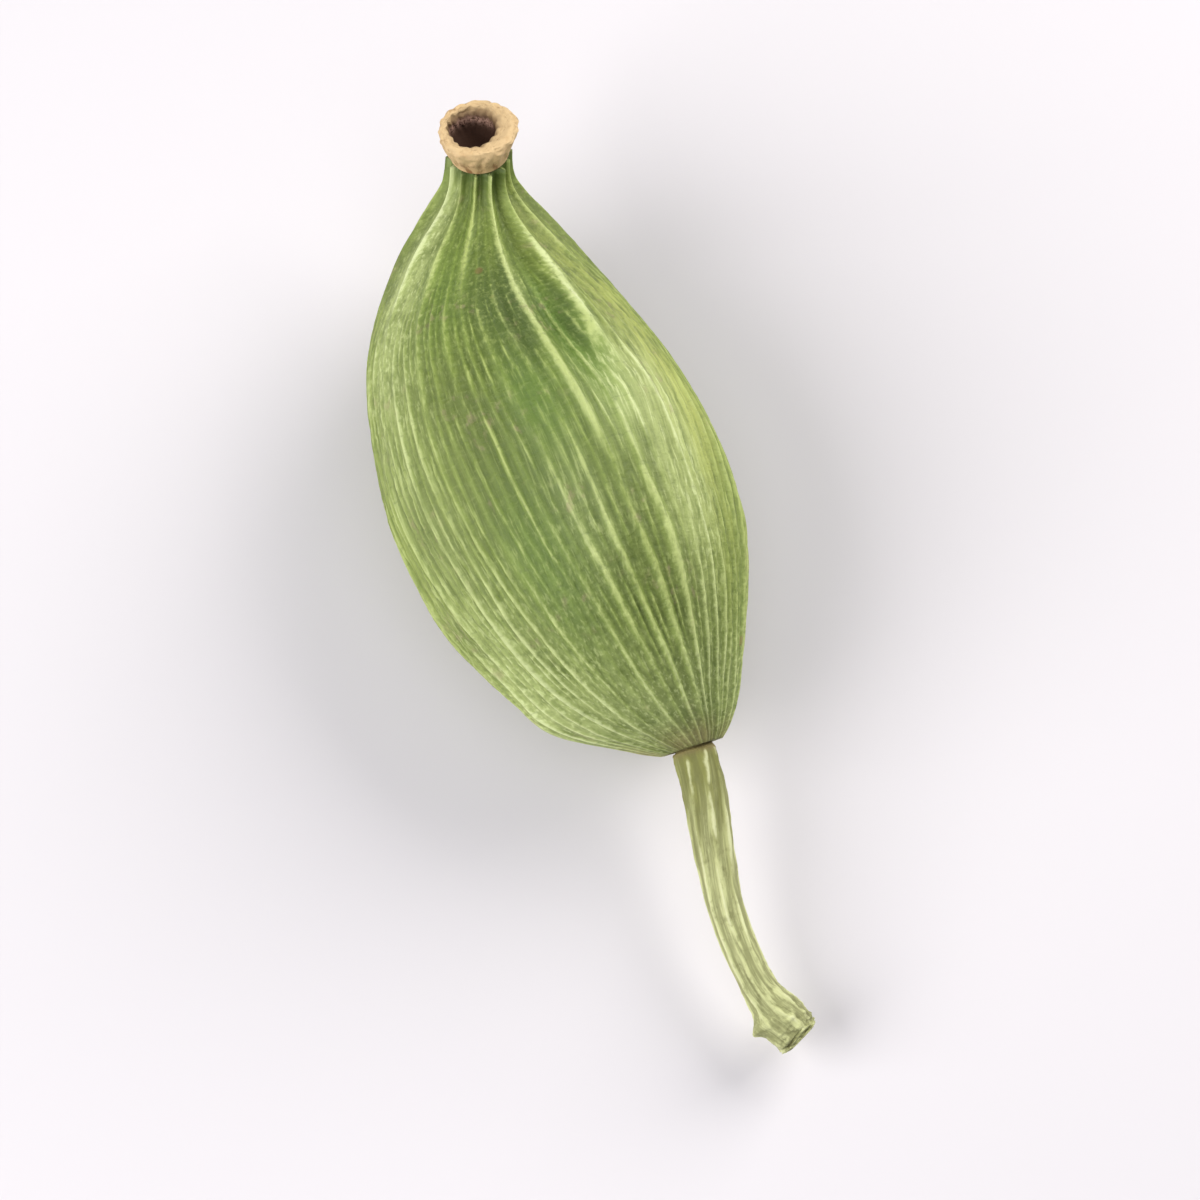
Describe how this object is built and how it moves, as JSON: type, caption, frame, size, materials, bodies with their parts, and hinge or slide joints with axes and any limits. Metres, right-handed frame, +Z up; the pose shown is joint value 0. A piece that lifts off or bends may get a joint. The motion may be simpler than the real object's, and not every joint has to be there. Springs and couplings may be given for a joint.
{
  "type": "green cardamom pod",
  "caption": "Dried green cardamom pod lying on its side: ribbed, three-sided husk with a pinched neck, an open dry flower tube and a short curved stalk.",
  "frame": {"origin": "on the surface that the pod lies on, under the middle of the whole pod's bounding box", "axes": "+Y along the pod towards its flower tube, +Z up, +X to the right when looking along +Y"},
  "size_m": [0.0082, 0.0236, 0.0074],
  "materials": {
    "husk": "dry fibrous plant skin, matt with a faint satin on the ribs, mid green with paler yellow-green ribs",
    "flower_tube": "papery dried flower remnant, matt tan rim with a dark brown bore",
    "stalk": "dry fibrous stem, matt pale yellow-green with darker furrows"
  },
  "bodies": {
    "root": {"husk": "husk", "flower_tube": "flower_tube", "stalk": "stalk"}
  },
  "joints": []
}
